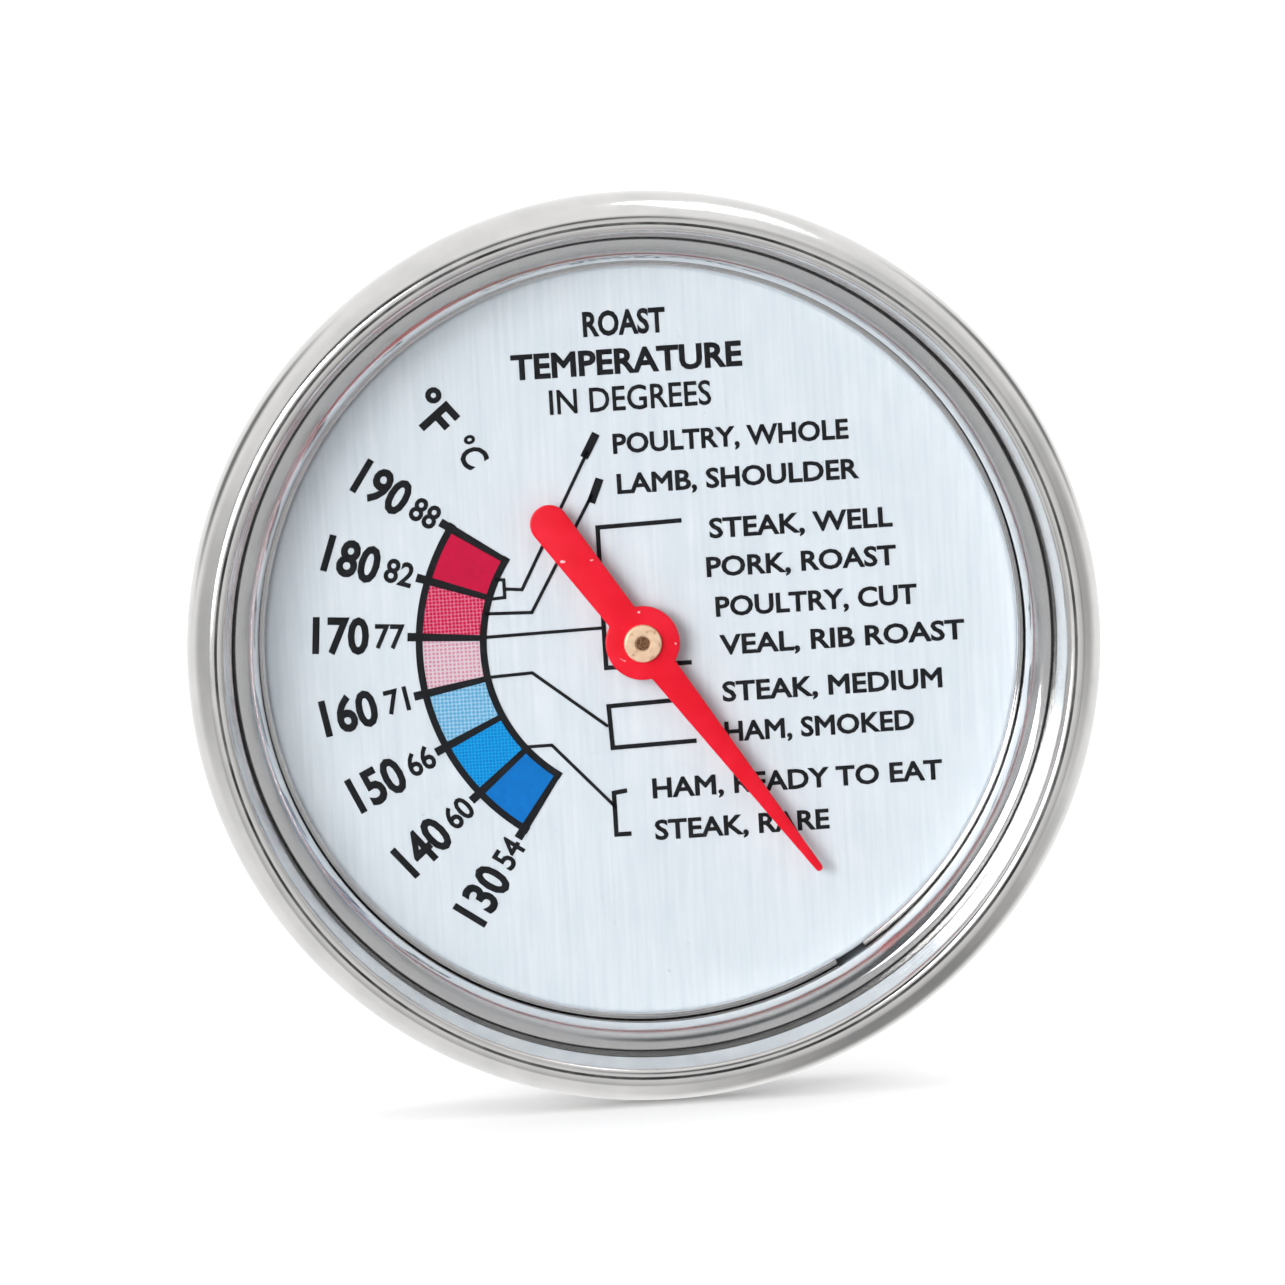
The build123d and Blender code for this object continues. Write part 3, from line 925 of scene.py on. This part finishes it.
bezel = turned("bezel_rolled", bent(
    [
        (lip_radius, bezel_front + lip_drop),
        (lip_radius + lip_run, bezel_front),
        (lip_radius + lip_run + front_width, bezel_front),
        (bezel_radius - bead_width, bezel_front + bead_height),
        (bezel_radius, bezel_front + side_lead),
        (bezel_radius, crease - tuck_height),
        (bezel_radius - tuck_width, crease),
        (rear_opening, free_edge),
    ],
    bezel_bends,
    arc_step=4, hold=0.02 * mm,
), closed=False, sheet=bezel_sheet)
bezel.data.materials.append(rolled_steel)
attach(bezel, "case")
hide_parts("bezel_ring")

# Studio. A white surround with a pale floor and two large soft lights. A tent that only reflections see
# gives the steel its bright, grey and dark parts.
floor_gap = 0.1 * mm
floor_size = 12.0
surround_strength = 1.2
bpy.ops.object.select_all(action="DESELECT")
bpy.ops.mesh.primitive_plane_add(size=floor_size, location=(0, 0, cad_box[0].z - floor_gap))
floor = bpy.context.object
floor.name = "studio_floor"
paper = new_material("pale paper", Roughness=0.9, Base_Color=(0.9, 0.9, 0.9, 1.0))
floor.data.materials.append(paper)
floor.visible_glossy = floor.visible_transmission = False

world = bpy.data.worlds.new("white surround")
bpy.context.scene.world = world
world.use_nodes = True
surround = world.node_tree.nodes["Background"]
surround.inputs["Color"].default_value = (1, 1, 1, 1)
surround.inputs["Strength"].default_value = surround_strength
world.cycles_visibility.glossy = world.cycles_visibility.transmission = False

tent_radius = 5.0
bpy.ops.object.select_all(action="DESELECT")
bpy.ops.mesh.primitive_uv_sphere_add(segments=48, ring_count=24, radius=tent_radius)
tent = bpy.context.object
tent.name = "reflection_tent"
tent.visible_camera = tent.visible_diffuse = tent.visible_shadow = False
tent_cloth = new_material(
    "tent cloth", Base_Color=(0, 0, 0, 1), Specular_IOR_Level=0.0, Emission_Strength=1.0,
)
tent_place = add(tent_cloth, "TexCoord").outputs["Object"]
outward = add(tent_cloth, "VectorMath", {0: tent_place}, operation="NORMALIZE").outputs["Vector"]


def cloth_towards(direction, *stops):
    """The tent's grey by the angle to one direction. Stops are (degrees, grey)."""
    direction = Vector(direction).normalized()
    lined_up = add(tent_cloth, "VectorMath", {0: outward, 1: direction}, operation="DOT_PRODUCT")
    angle = add(tent_cloth, "Math", {0: lined_up.outputs["Value"]}, operation="ARCCOSINE")
    share = add(tent_cloth, "Math", {0: angle.outputs["Value"], 1: 1 / math.pi}, operation="MULTIPLY")
    return ramp(tent_cloth, share.outputs["Value"], *((degrees / 180, grey) for degrees, grey in stops))


dark_cloths = [
    ((0.04, -1, -0.13), (5, 0.03), (9, 1)),
    ((-0.05, -0.70, 0.70), (7, 0.15), (17, 1)),
    ((-0.52, -0.66, 0.54), (12, 0.05), (26, 1)),
    ((0.5, 0.2, -0.85), (10, 0.35), (34, 1)),
    ((0.72, 0.62, 0.32), (8, 0.22), (19, 1)),
    ((-0.72, 0.62, 0.32), (8, 0.22), (19, 1)),
    ((1, -0.05, 0.0), (9, 0.64), (28, 1)),
    ((-1, -0.05, 0.0), (9, 0.62), (28, 1)),
]
cloth = cloth_towards((0.15, -1, -0.1), (0, 0.88), (38, 0.70), (68, 0.52), (86, 0.90), (112, 1.0))
for direction, *stops in dark_cloths:
    cloth = mixed(tent_cloth, 1.0, cloth, cloth_towards(direction, *stops), "MULTIPLY")
cloth = mixed(tent_cloth, 1.0, cloth, cloth_towards((0, 0, 1), (20, 0.9), (45, 0)), "SCREEN")
feed(tent_cloth, Emission_Color=cloth)
tent.data.materials.append(tent_cloth)


def soft_light(name, place, size, power, colour=(1, 1, 1)):
    """A square soft light aimed at the thermometer."""
    bpy.ops.object.light_add(type="AREA", location=place)
    lamp = bpy.context.object
    lamp.name = name
    lamp.data.size, lamp.data.energy, lamp.data.color = size, power, colour
    lamp.rotation_euler = (-Vector(place)).to_track_quat("-Z", "Y").to_euler()
    lamp.visible_camera = False


soft_light("key_light", (-1.15, -1.9, 0.5), 1.0, 32)
soft_light("top_light", (0.6, 0.3, 2.0), 0.8, 8, (0.97, 0.98, 1.0))

camera_azimuth = math.radians(-2.5)
camera_elevation = math.radians(7.2)
camera_distance = 0.74
camera_lens = 350.0
camera_roll = math.radians(3.5)
towards_camera = Vector((
    math.sin(camera_azimuth) * math.cos(camera_elevation),
    -math.cos(camera_azimuth) * math.cos(camera_elevation),
    math.sin(camera_elevation),
))

middle = (cad_box[0] + cad_box[1]) / 2
aim = Vector((middle.x, (bezel_front + boss_top) / 2, middle.z))
bpy.ops.object.camera_add(location=aim + towards_camera * camera_distance)
camera = bpy.context.object
camera.data.lens = camera_lens
camera.rotation_mode = "QUATERNION"
camera.rotation_quaternion = (-towards_camera).to_track_quat("-Z", "Y")
camera.rotation_quaternion.rotate(Quaternion(towards_camera, -camera_roll))
camera.data.clip_start, camera.data.clip_end = 0.01, 100
bpy.context.scene.camera = camera
bpy.context.scene.view_settings.view_transform = "Standard"
